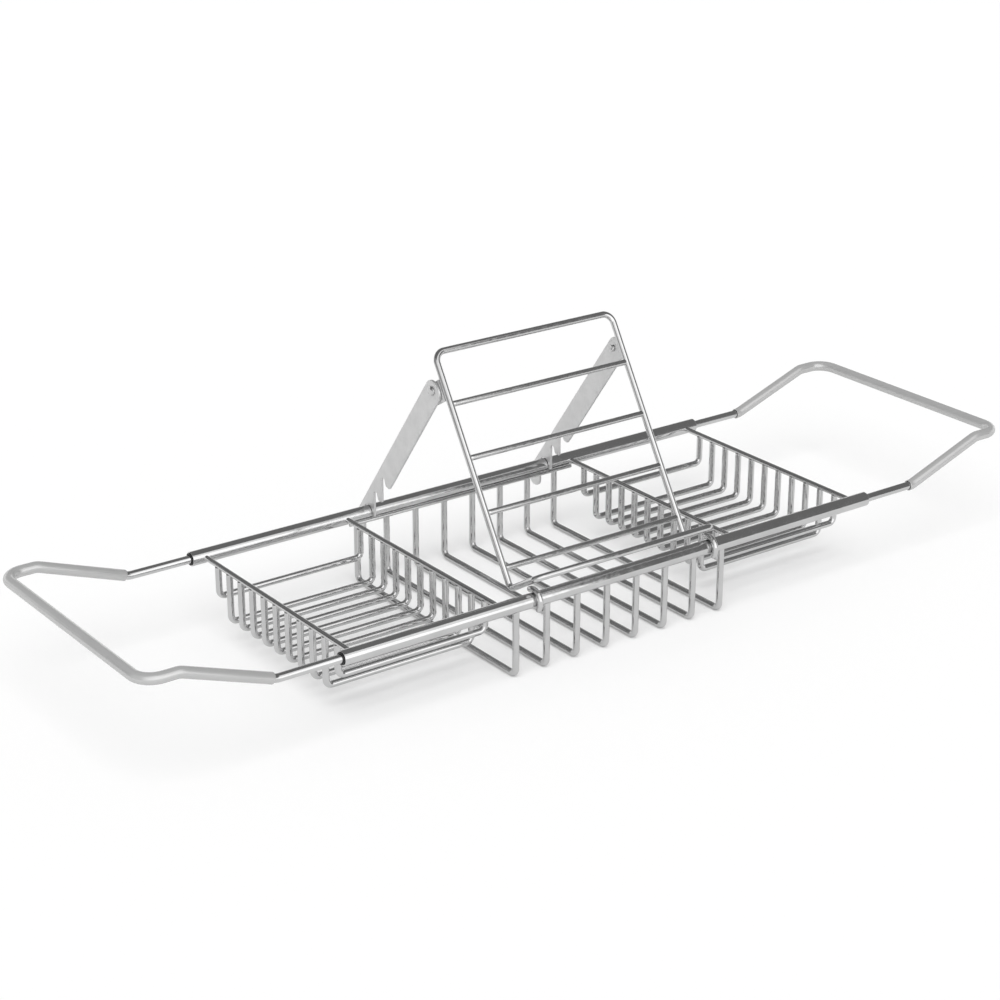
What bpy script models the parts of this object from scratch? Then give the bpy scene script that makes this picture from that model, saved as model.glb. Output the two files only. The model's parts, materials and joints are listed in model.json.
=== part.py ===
"""Extendable bath caddy with two side trays, a centre basket and a book rest.

The caddy stands on its basket wires. X runs along the rails, +Y to the back of the
caddy, +Z up. Lengths are in metres.
"""

import math

import bmesh
import bpy
from mathutils import Matrix, Vector

# Rails, the two tubes that carry everything
RAIL_SPACING = 0.170
RAIL_LENGTH = 0.399
RAIL_WALL = 0.0008

# Gaps: between welded pieces, and between pieces that slide or turn
WELD_GAP = 0.0003
RUNNING_GAP = 0.0003

# Handles that slide in the rails
ROD_RADIUS = 0.0026
HANDLE_TRAVEL_OUT = 0.110
HANDLE_NECK = 0.0418
HANDLE_RAMP_RUN = 0.058
HANDLE_RISE = 0.0208
HANDLE_TAIL = 0.0218
HANDLE_BEND_RADIUS = 0.012
HANDLE_CORNER_RADIUS = 0.012
ROD_COLLAR_LENGTH = 0.008
ROD_COLLAR_SLOPE = 0.0005
SLEEVE_WALL = 0.0006
SLEEVE_FIT = 0.00025
SLEEVE_END_FROM_BEND = 0.0005

# Black bushes in the rail mouths
BUSH_WALL = 0.00055
BUSH_LENGTH = 0.012
BUSH_FLANGE = 0.0005
BUSH_FLANGE_INSET = 0.0002

# Cross wires between the rails: the inner ones beyond the basket, the outer ones inside the ends
CROSS_WIRE_RADIUS = 0.00165
INNER_CROSS_BEYOND_BASKET = 0.01025
OUTER_CROSS_FROM_END = 0.0090

# Side trays
TRAY_WIRE_RADIUS = 0.00205
TRAY_WIRE_COUNT = 11
TRAY_GUARD_FROM_RAIL = 0.01825
TRAY_DEPTH = 0.0322
GUARD_DEPTH = 0.0203
TRAY_BEND_RADIUS = 0.004

# Centre basket
BASKET_WIRE_RADIUS = 0.00205
BASKET_WIRE_COUNT = 8
BASKET_PITCH = 0.0225
BASKET_DEPTH = 0.0456
BASKET_BEND_RADIUS = 0.0042
BASKET_REAR_SET_BACK = 0.0028
RIM_WIRE_RADIUS = 0.00115
RIM_WIRE_ANGLE = math.radians(36)

# Book rest frame, propped as in use
REST_WIRE_RADIUS = 0.0020
REST_LEG_INSET = 0.0005
REST_LEG_LENGTH = 0.1475
REST_LEAN = math.radians(31.5)
REST_FOOT_BACK = 0.0226
REST_FOOT_RISE = -0.0013
REST_TOP_RADIUS = 0.0068
REST_FOOT_RADIUS = 0.0035
LEDGE_REACH = 0.0308
LEDGE_CORNER_RADIUS = 0.005
RUNG_RADIUS = 0.0018
RUNG_SHARES = (0.087, 0.3185, 0.55, 0.78)

# Hooks that wrap the front rail
HOOK_WIRE_RADIUS = 0.0018
HOOK_LAP = math.radians(8)
HOOK_END = math.radians(140)

# Lugs, rivets and support arms
PLATE_THICKNESS = 0.0015
PIVOT_UP_LEG = 0.1269
PIVOT_BEHIND_LEG = 0.0096
LUG_BELOW_PIVOT = 0.0089
LUG_ABOVE_PIVOT = 0.0046
LUG_BEHIND_PIVOT = 0.0055
LUG_ROUND = 0.0040
RIVET_RADIUS = 0.0015
RIVET_HEAD_RADIUS = 0.0030
RIVET_HEAD_HEIGHT = 0.0010
RIVET_TAIL_RADIUS = 0.0021
ARM_TURN = math.radians(0.9)
ARM_FRONT_EDGE = 0.0082
ARM_BACK_EDGE = 0.0068
ARM_ABOVE_PIVOT = 0.0066
SLOT_CLEARANCE = 0.0003
SLOT_TOOTH_DROP = 0.0012
SLOT_TOOTH_WIDTH = 0.0022
FINGER_WIDTH = 0.0106
FINGER_DROP = 0.0174
NOTCH_COUNT = 2
NOTCH_STEP = 0.00904
NOTCH_RISE = 0.01715
NOTCH_TOP_WIDTH = 0.0028
NOTCH_MOUTH_WIDTH = 0.0046
NOTCH_LIP_DROP = 0.0045
FIRST_TOOTH_WIDTH = 0.0040
TOOTH_ROUND = 0.0009
CORNER_ROUND_SHARE = 0.45

# Sides of the round pieces and the angle between the points of an arc
WIRE_RESOLUTION = 2
WIRE_SIDES = 8
ROD_RESOLUTION = 4
ROD_SIDES = 12
RAIL_SIDES = 24
ARC_STEP = math.radians(24)
OUTLINE_STEP = math.radians(15)
RIVET_DOME_STEPS = 3

# Points closer than this are one where a turned shape closes on itself
MERGE_DISTANCE = 0.00001

# Arcs take at most this share of the straight run that they round
RUN_SHARE = 0.98

# Round sizes from the inside out: a rod slides in a bush, which lines a rail
BUSH_BORE_RADIUS = ROD_RADIUS + RUNNING_GAP
BUSH_RADIUS = BUSH_BORE_RADIUS + BUSH_WALL
RAIL_BORE_RADIUS = BUSH_RADIUS + WELD_GAP
RAIL_RADIUS = RAIL_BORE_RADIUS + RAIL_WALL

# Places worked out from the sizes above
RAIL_Y = RAIL_SPACING / 2
RAIL_END_X = RAIL_LENGTH / 2
INNER_CROSS_X = BASKET_PITCH * (BASKET_WIRE_COUNT - 1) / 2 + INNER_CROSS_BEYOND_BASKET
OUTER_CROSS_X = RAIL_END_X - OUTER_CROSS_FROM_END
TRAY_GUARD_Y = RAIL_Y - TRAY_GUARD_FROM_RAIL
WIRE_FLAT_SHARE = math.cos(math.pi / WIRE_SIDES)
RAIL_HEIGHT = BASKET_DEPTH + BASKET_WIRE_RADIUS * WIRE_FLAT_SHARE
SLOT_RADIUS = RAIL_RADIUS + SLOT_CLEARANCE
HOOK_PATH_RADIUS = RAIL_RADIUS + RUNNING_GAP + HOOK_WIRE_RADIUS
FRONT_REACH = RAIL_Y + HOOK_PATH_RADIUS + HOOK_WIRE_RADIUS
BACK_REACH = RAIL_Y + SLOT_RADIUS + FINGER_WIDTH
RAILS_CENTRE = Vector((0, (FRONT_REACH - BACK_REACH) / 2, RAIL_HEIGHT))

# The ledge's arms pass just clear of the hooks that are welded under them
LEDGE_CLEARANCE = HOOK_PATH_RADIUS + HOOK_WIRE_RADIUS + WELD_GAP + REST_WIRE_RADIUS
FOOT_REACH = math.hypot(REST_FOOT_BACK, REST_FOOT_RISE)
LEDGE_LEAN = math.asin(LEDGE_CLEARANCE / FOOT_REACH) - math.atan2(REST_FOOT_RISE, REST_FOOT_BACK)
HOOK_START = -LEDGE_LEAN - HOOK_LAP

# The book rest's own directions: up its legs, square behind them, and along its ledge
LEG_UP = Vector((0, math.sin(REST_LEAN), math.cos(REST_LEAN)))
LEG_BACK = Vector((0, math.cos(REST_LEAN), -math.sin(REST_LEAN)))
LEDGE_OUT = Vector((0, -math.cos(LEDGE_LEAN), math.sin(LEDGE_LEAN)))
REST_FOOT = Vector((0, REST_FOOT_BACK - RAIL_Y, REST_FOOT_RISE))
PIVOT = REST_FOOT + LEG_UP * PIVOT_UP_LEG + LEG_BACK * PIVOT_BEHIND_LEG
ARM_LEAN = math.atan2(RAIL_Y - PIVOT.y, PIVOT.z) + ARM_TURN

# Places along X: the legs stand about midway between the last two basket wires, with a lug
# behind each leg's outer half and an arm outside each lug
REST_LEG_X = BASKET_PITCH * (BASKET_WIRE_COUNT / 2 - 1) - REST_LEG_INSET
LUG_X = REST_LEG_X + REST_WIRE_RADIUS - PLATE_THICKNESS / 2
ARM_X = LUG_X + PLATE_THICKNESS + RUNNING_GAP

CADDY = bpy.data.collections.new("bath_caddy")


def clear_scene():
    """Remove the objects that the scene opens with."""
    for thing in list(bpy.data.objects):
        bpy.data.objects.remove(thing, do_unlink=True)
    bpy.context.scene.collection.children.link(CADDY)


def make_material(name, colour, roughness, metallic):
    """A Principled material of one colour."""
    material = bpy.data.materials.new(name)
    material.use_nodes = True
    shader = material.node_tree.nodes["Principled BSDF"]
    shader.inputs["Base Color"].default_value = (*colour, 1)
    shader.inputs["Roughness"].default_value = roughness
    shader.inputs["Metallic"].default_value = metallic
    return material


def add_object(name, data, parent, material):
    """Put mesh or curve data in the caddy's collection under a parent."""
    thing = bpy.data.objects.new(name, data)
    CADDY.objects.link(thing)
    thing.parent = parent
    data.materials.append(material)
    return thing


def add_empty(name, location, parent=None):
    """An empty that carries pieces, on the axis they move about."""
    empty = bpy.data.objects.new(name, None)
    CADDY.objects.link(empty)
    empty.location = location
    empty.parent = parent
    return empty


def arc_corner(before, corner, after, reach, step):
    """The points of an arc that rounds a corner, reaching this far along both its runs."""
    to_before = (before - corner).normalized()
    to_after = (after - corner).normalized()
    half_angle = to_before.angle(to_after) / 2
    centre = corner + (to_before + to_after).normalized() * (reach / math.cos(half_angle))
    start = corner + to_before * reach - centre
    sweep = math.pi - 2 * half_angle
    axis = (-to_before).cross(to_after).normalized()
    count = max(1, math.ceil(sweep / step))
    return [centre + Matrix.Rotation(sweep * i / count, 3, axis) @ start for i in range(count + 1)]


def arc_reach(before, corner, after, radius):
    """How far an arc of this radius at a corner reaches along its two runs."""
    return radius / math.tan((before - corner).angle(after - corner) / 2) if radius else 0


def reach_in_run(here, there, reach, other_reach):
    """An arc's reach, cut down where the run is too short for the arcs at both its ends."""
    room = (there - here).length * RUN_SHARE
    return min(reach, room * reach / (reach + other_reach)) if reach else 0


def rounded_path(corners, closed=False, step=ARC_STEP):
    """Straight runs between corners, each a place with the radius that rounds it."""
    places = [place for place, _ in corners]
    count = len(places)
    reaches = []
    for i, (place, radius) in enumerate(corners):
        is_end = not closed and i in (0, count - 1)
        reaches.append(arc_reach(places[i - 1], place, places[(i + 1) % count], 0 if is_end else radius))
    points = []
    for i, place in enumerate(places):
        before = places[i - 1]
        after = places[(i + 1) % count]
        reach = min(
            reach_in_run(place, before, reaches[i], reaches[i - 1]),
            reach_in_run(place, after, reaches[i], reaches[(i + 1) % count]),
        )
        points += arc_corner(before, place, after, reach, step) if reach else [place]
    return points


def make_curve(name, points, radius, resolution, closed=False, caps=True):
    """Curve data for a wire, turned so that a flat of its polygon faces down."""
    curve = bpy.data.curves.new(name, "CURVE")
    curve.dimensions = "3D"
    curve.bevel_depth = radius
    curve.bevel_resolution = resolution
    curve.use_fill_caps = caps
    spline = curve.splines.new("POLY")
    spline.points.add(len(points) - 1)
    flat_turn = math.pi / (2 * resolution + 4)
    for point, place in zip(spline.points, points):
        point.co = (*place, 1)
        point.tilt = flat_turn
    spline.use_cyclic_u = closed
    spline.use_smooth = True
    return curve


def make_wire(name, points, radius, parent, material, closed=False):
    """A round wire along a path."""
    curve = make_curve(name, points, radius, WIRE_RESOLUTION, closed)
    return add_object(name, curve, parent, material)


def make_plate(name, outline, x_middle, parent, material, holes=()):
    """A flat plate across X, from an outline and round holes given in Y and Z."""
    curve = bpy.data.curves.new(name, "CURVE")
    curve.dimensions = "2D"
    curve.fill_mode = "BOTH"
    curve.extrude = PLATE_THICKNESS / 2
    for loop in (outline, *holes):
        spline = curve.splines.new("POLY")
        spline.points.add(len(loop) - 1)
        for point, place in zip(spline.points, loop):
            point.co = (place.y, place.z, 0, 1)
        spline.use_cyclic_u = True
    plate = add_object(name, curve, parent, material)
    plate.location = (x_middle, 0, 0)
    plate.rotation_euler = (math.pi / 2, 0, math.pi / 2)
    return plate


def make_turned(name, profile, location, parent, material, side, sides=RAIL_SIDES):
    """A piece turned about X: its profile holds radius and distance out along X."""
    mesh = bpy.data.meshes.new(name)
    shape = bmesh.new()
    corners = [shape.verts.new((radius, 0, distance)) for radius, distance in profile]
    for i, corner in enumerate(corners):
        shape.edges.new((corner, corners[(i + 1) % len(corners)]))
    shape.to_mesh(mesh)
    shape.free()
    turned = add_object(name, mesh, parent, material)
    screw = turned.modifiers.new("turn", "SCREW")
    screw.steps = sides
    screw.render_steps = sides
    screw.use_merge_vertices = True
    screw.merge_threshold = MERGE_DISTANCE
    screw.use_smooth_shade = True
    turned.location = location
    turned.rotation_euler = (0, side * math.pi / 2, 0)
    return turned


def rivet_profile():
    """Half section of a rivet, from the middle of its outer head round to its inner one."""
    inner = -(PLATE_THICKNESS / 2 + RUNNING_GAP)
    outer = PLATE_THICKNESS / 2 + RUNNING_GAP + PLATE_THICKNESS + RUNNING_GAP
    turns = [math.pi / 2 * i / RIVET_DOME_STEPS for i in range(RIVET_DOME_STEPS + 1)]
    dome = [
        (RIVET_HEAD_RADIUS * math.sin(turn), outer + RIVET_HEAD_HEIGHT * math.cos(turn))
        for turn in turns
    ]
    return [
        *dome,
        (RIVET_RADIUS, outer),
        (RIVET_RADIUS, inner),
        (RIVET_TAIL_RADIUS, inner),
        (RIVET_TAIL_RADIUS, inner - RIVET_HEAD_HEIGHT),
        (0, inner - RIVET_HEAD_HEIGHT),
    ]


def make_rail(name, y, root, chrome):
    """An open tube along X."""
    mesh = bpy.data.meshes.new(name)
    shape = bmesh.new()
    bmesh.ops.create_cone(
        shape,
        cap_ends=False,
        segments=RAIL_SIDES,
        radius1=RAIL_RADIUS,
        radius2=RAIL_RADIUS,
        depth=RAIL_LENGTH,
        matrix=Matrix.Rotation(math.pi / 2, 4, "Y"),
    )
    shape.to_mesh(mesh)
    shape.free()
    mesh.shade_smooth()
    rail = add_object(name, mesh, root, chrome)
    rail.location = (0, y, 0)
    wall = rail.modifiers.new("wall", "SOLIDIFY")
    wall.thickness = RAIL_WALL
    wall.offset = -1
    return rail


def make_bush(name, side, y, root, nylon):
    """A flanged bush that lines a rail's mouth."""
    flange = RAIL_RADIUS - BUSH_FLANGE_INSET
    profile = [
        (BUSH_BORE_RADIUS, WELD_GAP + BUSH_FLANGE),
        (flange, WELD_GAP + BUSH_FLANGE),
        (flange, WELD_GAP),
        (BUSH_RADIUS, WELD_GAP),
        (BUSH_RADIUS, -BUSH_LENGTH),
        (BUSH_BORE_RADIUS, -BUSH_LENGTH),
    ]
    return make_turned(name, profile, (side * RAIL_END_X, y, 0), root, nylon, side)


def make_rails(root, chrome, nylon):
    """Both rails with a bush at each end."""
    for rail_name, y in (("front", -RAIL_Y), ("rear", RAIL_Y)):
        make_rail(f"{rail_name}_rail", y, root, chrome)
        for side_name, side in (("left", -1), ("right", 1)):
            make_bush(f"{rail_name}_rail_{side_name}_bush", side, y, root, nylon)


def make_cross_wires(root, chrome):
    """Four wires that tie the rails together and bound the trays."""
    end_y = RAIL_Y - RAIL_RADIUS - WELD_GAP
    places = (
        ("left_outer", -OUTER_CROSS_X),
        ("left_inner", -INNER_CROSS_X),
        ("right_inner", INNER_CROSS_X),
        ("right_outer", OUTER_CROSS_X),
    )
    for place_name, x in places:
        points = [Vector((x, -end_y, 0)), Vector((x, end_y, 0))]
        make_wire(f"{place_name}_cross_wire", points, CROSS_WIRE_RADIUS, root, chrome)


def make_tray(side_name, side, root, chrome):
    """The U-shaped wires of a side tray, with a shallower guard wire at its front and back."""
    top = -CROSS_WIRE_RADIUS - WELD_GAP
    last = TRAY_WIRE_COUNT - 1
    guard_names = {0: "front_guard", last: "rear_guard"}
    for i in range(TRAY_WIRE_COUNT):
        y = TRAY_GUARD_Y * (2 * i / last - 1)
        floor = -GUARD_DEPTH if i in guard_names else -TRAY_DEPTH
        corners = [
            (Vector((side * INNER_CROSS_X, y, top)), 0),
            (Vector((side * INNER_CROSS_X, y, floor)), TRAY_BEND_RADIUS),
            (Vector((side * OUTER_CROSS_X, y, floor)), TRAY_BEND_RADIUS),
            (Vector((side * OUTER_CROSS_X, y, top)), 0),
        ]
        name = f"{side_name}_tray_{guard_names.get(i, f'wire_{i}')}"
        make_wire(name, rounded_path(corners), TRAY_WIRE_RADIUS, root, chrome)


def make_basket(root, chrome):
    """The centre basket: rim wires inside the rails and U-shaped wires under them."""
    rim_reach = RAIL_RADIUS + WELD_GAP + RIM_WIRE_RADIUS
    rim_y = RAIL_Y - rim_reach * math.cos(RIM_WIRE_ANGLE)
    rim_z = -rim_reach * math.sin(RIM_WIRE_ANGLE)
    rim_end = INNER_CROSS_X - CROSS_WIRE_RADIUS - WELD_GAP
    for rim_name, y in (("front", -rim_y), ("rear", rim_y)):
        points = [Vector((-rim_end, y, rim_z)), Vector((rim_end, y, rim_z))]
        make_wire(f"basket_{rim_name}_rim_wire", points, RIM_WIRE_RADIUS, root, chrome)
    front_y = -rim_y - RIM_WIRE_RADIUS - WELD_GAP - BASKET_WIRE_RADIUS
    rear_y = -front_y + BASKET_REAR_SET_BACK
    top = -RAIL_RADIUS - WELD_GAP
    for i in range(BASKET_WIRE_COUNT):
        x = (i - (BASKET_WIRE_COUNT - 1) / 2) * BASKET_PITCH
        corners = [
            (Vector((x, front_y, top)), 0),
            (Vector((x, front_y, -BASKET_DEPTH)), BASKET_BEND_RADIUS),
            (Vector((x, rear_y, -BASKET_DEPTH)), BASKET_BEND_RADIUS),
            (Vector((x, rear_y, top)), 0),
        ]
        make_wire(f"basket_wire_{i + 1}", rounded_path(corners), BASKET_WIRE_RADIUS, root, chrome)


def handle_corners(side):
    """A handle's corners and bend radii from the rails' ends, rear rail round to front rail."""
    neck_x = side * HANDLE_NECK
    ramp_x = neck_x + side * HANDLE_RAMP_RUN
    bar_x = ramp_x + side * HANDLE_TAIL
    rear = [
        (Vector((neck_x, RAIL_Y, 0)), HANDLE_BEND_RADIUS),
        (Vector((ramp_x, RAIL_Y, HANDLE_RISE)), HANDLE_BEND_RADIUS),
        (Vector((bar_x, RAIL_Y, HANDLE_RISE)), HANDLE_CORNER_RADIUS),
    ]
    return rear + [(Vector((p.x, -p.y, p.z)), radius) for p, radius in reversed(rear)]


def make_handle_rod(side_name, side, carrier, chrome):
    """The U-shaped rod, with a swaged collar at each end that the bushes hold back."""
    collar_radius = RAIL_BORE_RADIUS - RUNNING_GAP
    collar_x = BUSH_LENGTH + HANDLE_TRAVEL_OUT + RUNNING_GAP
    inner_xs = (collar_x + ROD_COLLAR_SLOPE + ROD_COLLAR_LENGTH, collar_x + ROD_COLLAR_SLOPE, collar_x)
    rear_end = [Vector((-side * x, RAIL_Y, 0)) for x in inner_xs]
    front_end = [Vector((p.x, -p.y, p.z)) for p in reversed(rear_end)]
    bent = rounded_path([(rear_end[-1], 0), *handle_corners(side), (front_end[0], 0)])
    points = rear_end[:-1] + bent + front_end[1:]
    name = f"{side_name}_handle_rod"
    curve = make_curve(name, points, ROD_RADIUS, ROD_RESOLUTION)
    for end in (0, 1, -2, -1):
        curve.splines[0].points[end].radius = collar_radius / ROD_RADIUS
    return add_object(name, curve, carrier, chrome)


def sleeve_path(side):
    """A sleeve's path: the right one covers the rod's first bends, the left one starts past them."""
    corners = handle_corners(side)
    ramp_angle = math.atan2(HANDLE_RISE, HANDLE_RAMP_RUN)
    from_corner = HANDLE_BEND_RADIUS * math.tan(ramp_angle / 2) + SLEEVE_END_FROM_BEND
    if side > 0:
        rear_end = corners[0][0] - Vector((from_corner, 0, 0))
        covered = corners
    else:
        run = (corners[1][0] - corners[0][0]).normalized()
        rear_end = corners[0][0] + run * from_corner
        covered = corners[1:-1]
    front_end = Vector((rear_end.x, -rear_end.y, rear_end.z))
    return rounded_path([(rear_end, 0), *covered, (front_end, 0)])


def make_sleeve(side_name, side, carrier, vinyl):
    """The soft sleeve over a handle."""
    points = sleeve_path(side)
    name = f"{side_name}_handle_sleeve"
    radius = ROD_RADIUS + SLEEVE_FIT + SLEEVE_WALL
    curve = make_curve(name, points, radius, ROD_RESOLUTION, caps=False)
    pattern = bpy.data.objects.new(f"{name}_pattern", curve)
    CADDY.objects.link(pattern)
    view = bpy.context.evaluated_depsgraph_get()
    mesh = bpy.data.meshes.new_from_object(pattern.evaluated_get(view))
    mesh.name = name
    bpy.data.objects.remove(pattern, do_unlink=True)
    sleeve = add_object(name, mesh, carrier, vinyl)
    wall = sleeve.modifiers.new("wall", "SOLIDIFY")
    wall.thickness = SLEEVE_WALL
    wall.offset = -1
    return sleeve


def make_handle(side_name, side, root, chrome, vinyl):
    """A rod that slides in both rails, and its grey sleeve."""
    carrier = add_empty(f"{side_name}_handle_slide", (side * RAIL_END_X, 0, 0), root)
    make_handle_rod(side_name, side, carrier, chrome)
    make_sleeve(side_name, side, carrier, vinyl)


def make_rest_frame(carrier, chrome):
    """The book rest's wire frame: legs, top bar and the ledge that holds a book."""
    foot = REST_FOOT
    top = foot + LEG_UP * REST_LEG_LENGTH
    ledge = foot + LEDGE_OUT * LEDGE_REACH
    right = [
        (top, REST_TOP_RADIUS),
        (foot, REST_FOOT_RADIUS),
        (ledge, LEDGE_CORNER_RADIUS),
    ]
    x_out = Vector((REST_LEG_X, 0, 0))
    corners = [(p + x_out, radius) for p, radius in right]
    corners += [(p - x_out, radius) for p, radius in reversed(right)]
    points = rounded_path(corners, closed=True)
    make_wire("book_rest_frame", points, REST_WIRE_RADIUS, carrier, chrome, closed=True)
    rung_x = REST_LEG_X - REST_WIRE_RADIUS - WELD_GAP
    for i, share in enumerate(RUNG_SHARES):
        middle = foot + LEG_UP * REST_LEG_LENGTH * share
        ends = [middle - Vector((rung_x, 0, 0)), middle + Vector((rung_x, 0, 0))]
        make_wire(f"book_rest_rung_{i + 1}", ends, RUNG_RADIUS, carrier, chrome)


def make_hook(side_name, side, carrier, chrome):
    """A wire hook welded under the ledge arm that turns on the front rail."""
    count = math.ceil((HOOK_END - HOOK_START) / ARC_STEP)
    points = []
    for i in range(count + 1):
        angle = HOOK_START + (HOOK_END - HOOK_START) * i / count
        y = -RAIL_Y - HOOK_PATH_RADIUS * math.sin(angle)
        z = HOOK_PATH_RADIUS * math.cos(angle)
        points.append(Vector((side * REST_LEG_X, y, z)))
    make_wire(f"book_rest_{side_name}_hook", points, HOOK_WIRE_RADIUS, carrier, chrome)


def hole_loop(centre, radius):
    """The points of a round hole in a plate."""
    return [
        centre + Vector((0, math.cos(angle), math.sin(angle))) * radius
        for angle in (i * 2 * math.pi / ROD_SIDES for i in range(ROD_SIDES))
    ]


def make_lug(side_name, side, carrier, steel):
    """The plate on a leg that the support arm is riveted to."""
    back = PIVOT_BEHIND_LEG + LUG_BEHIND_PIVOT
    low = PIVOT_UP_LEG - LUG_BELOW_PIVOT
    high = PIVOT_UP_LEG + LUG_ABOVE_PIVOT
    front = REST_WIRE_RADIUS + WELD_GAP
    corners = [
        (REST_FOOT + LEG_UP * low + LEG_BACK * front, 0),
        (REST_FOOT + LEG_UP * low + LEG_BACK * back, LUG_ROUND),
        (REST_FOOT + LEG_UP * high + LEG_BACK * back, LUG_ROUND),
        (REST_FOOT + LEG_UP * high + LEG_BACK * front, 0),
    ]
    outline = rounded_path(corners, True, OUTLINE_STEP)
    hole = hole_loop(PIVOT, RIVET_RADIUS + RUNNING_GAP)
    make_plate(f"{side_name}_lug", outline, side * LUG_X, carrier, steel, [hole])


def along_arm(down, forward):
    """A place on the arm, from its pivot: down its length and across to its front edge."""
    length = Vector((0, math.sin(ARM_LEAN), -math.cos(ARM_LEAN)))
    width = Vector((0, -math.cos(ARM_LEAN), -math.sin(ARM_LEAN)))
    return length * down + width * forward


def front_edge_at(y):
    """Where the arm's front edge reaches this Y."""
    start = along_arm(0, ARM_FRONT_EDGE)
    return start + along_arm((y - start.y) / math.sin(ARM_LEAN), 0)


def notch_corners(number, slot_front):
    """A notch of the arm, from its lip to the top of its back wall, counted up from the slot."""
    back_y = slot_front - SLOT_TOOTH_WIDTH - NOTCH_STEP * number
    top = front_edge_at(back_y) + Vector((0, 0, NOTCH_RISE))
    top_round = NOTCH_TOP_WIDTH * CORNER_ROUND_SHARE
    return [
        (top - Vector((0, NOTCH_MOUTH_WIDTH, NOTCH_LIP_DROP)), TOOTH_ROUND),
        (top - Vector((0, NOTCH_TOP_WIDTH, 0)), top_round),
        (top, top_round),
    ]


def arm_outline():
    """The arm's outline from its pivot: rounded top, notches, rail slot and finger."""
    rail = Vector((0, RAIL_Y, 0)) - PIVOT
    slot_front = rail.y - SLOT_RADIUS
    slot_back = rail.y + SLOT_RADIUS
    slot_top = rail.z + SLOT_RADIUS
    slot_round = 2 * SLOT_RADIUS * CORNER_ROUND_SHARE
    top_round = (ARM_FRONT_EDGE + ARM_BACK_EDGE) * CORNER_ROUND_SHARE
    outline = [
        (along_arm(-ARM_ABOVE_PIVOT, -ARM_BACK_EDGE), top_round),
        (along_arm(-ARM_ABOVE_PIVOT, ARM_FRONT_EDGE), top_round),
    ]
    first_notch = notch_corners(NOTCH_COUNT - 1, slot_front)
    first_tooth_y = first_notch[0][0].y - FIRST_TOOTH_WIDTH
    outline.append((front_edge_at(first_tooth_y), FIRST_TOOTH_WIDTH * CORNER_ROUND_SHARE))
    outline += first_notch
    for number in reversed(range(NOTCH_COUNT - 1)):
        outline.append((front_edge_at(outline[-1][0].y), TOOTH_ROUND))
        outline += notch_corners(number, slot_front)
    tooth_tip = rail.z - SLOT_TOOTH_DROP
    finger_tip = rail.z - FINGER_DROP
    finger_back = slot_back + FINGER_WIDTH
    finger_round = FINGER_WIDTH * CORNER_ROUND_SHARE
    back_edge = along_arm(0, -ARM_BACK_EDGE)
    finger_top = back_edge + along_arm((finger_back - back_edge.y) / math.sin(ARM_LEAN), 0)
    outline += [
        (Vector((0, outline[-1][0].y, tooth_tip)), TOOTH_ROUND),
        (Vector((0, slot_front, tooth_tip)), TOOTH_ROUND),
        (Vector((0, slot_front, slot_top)), slot_round),
        (Vector((0, slot_back, slot_top)), slot_round),
        (Vector((0, slot_back, finger_tip)), finger_round),
        (Vector((0, finger_back, finger_tip)), finger_round),
        (finger_top, finger_round),
    ]
    return rounded_path(outline, True, OUTLINE_STEP)


def make_arm(side_name, side, rest, chrome, steel):
    """A support arm that hooks over the rear rail, and the rivet that it turns on."""
    pivot = PIVOT - rest.location + Vector((side * LUG_X, 0, 0))
    carrier = add_empty(f"{side_name}_arm_pivot", pivot, rest)
    hole = hole_loop(Vector((0, 0, 0)), RIVET_RADIUS + RUNNING_GAP)
    arm_x = side * (ARM_X - LUG_X)
    make_plate(f"{side_name}_support_arm", arm_outline(), arm_x, carrier, steel, [hole])
    make_turned(f"{side_name}_arm_rivet", rivet_profile(), pivot, rest, chrome, side, ROD_SIDES)


def make_book_rest(root, chrome, steel):
    """The book rest, which tips about the front rail, with its arms."""
    hinge = Vector((0, -RAIL_Y, 0))
    rest = add_empty("book_rest_tilt", hinge, root)
    frame = add_empty("book_rest_origin", -hinge, rest)
    make_rest_frame(frame, chrome)
    for side_name, side in (("left", -1), ("right", 1)):
        make_hook(side_name, side, frame, chrome)
        make_lug(side_name, side, frame, steel)
        make_arm(side_name, side, rest, chrome, steel)


def build():
    """Build the whole caddy under one empty between its rails."""
    clear_scene()
    chrome = make_material("chromed_wire", (0.80, 0.80, 0.81), 0.12, 1.0)
    steel = make_material("plated_steel", (0.62, 0.62, 0.62), 0.45, 0.9)
    nylon = make_material("black_nylon", (0.02, 0.02, 0.02), 0.5, 0.0)
    vinyl = make_material("grey_vinyl", (0.50, 0.49, 0.48), 0.55, 0.0)
    root = add_empty("caddy_origin", RAILS_CENTRE)
    make_rails(root, chrome, nylon)
    make_cross_wires(root, chrome)
    for side_name, side in (("left", -1), ("right", 1)):
        make_tray(side_name, side, root, chrome)
        make_handle(side_name, side, root, chrome, vinyl)
    make_basket(root, chrome)
    make_book_rest(root, chrome, steel)


build()
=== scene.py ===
# %% [markdown]
# # A bath caddy in chromed wire
#
# A bath caddy lies across a bath and holds soap, bottles and a book. This one is nearly all
# round bar: two steel tubes, about forty bent and welded wires, two pull-out handles in soft
# grey sleeves, and a book rest that is propped on two flat steel arms.
#
# The CAD model gives every piece its place and its motion, but its wires have few sides so
# that they stay light. Here each wire is skinned again as a truly round bar with worked ends,
# and rides on the body that its CAD piece rides on.

# %% Load the fixed frame
import json
import math

import bmesh
import bpy
from mathutils import Matrix, Vector

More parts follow.
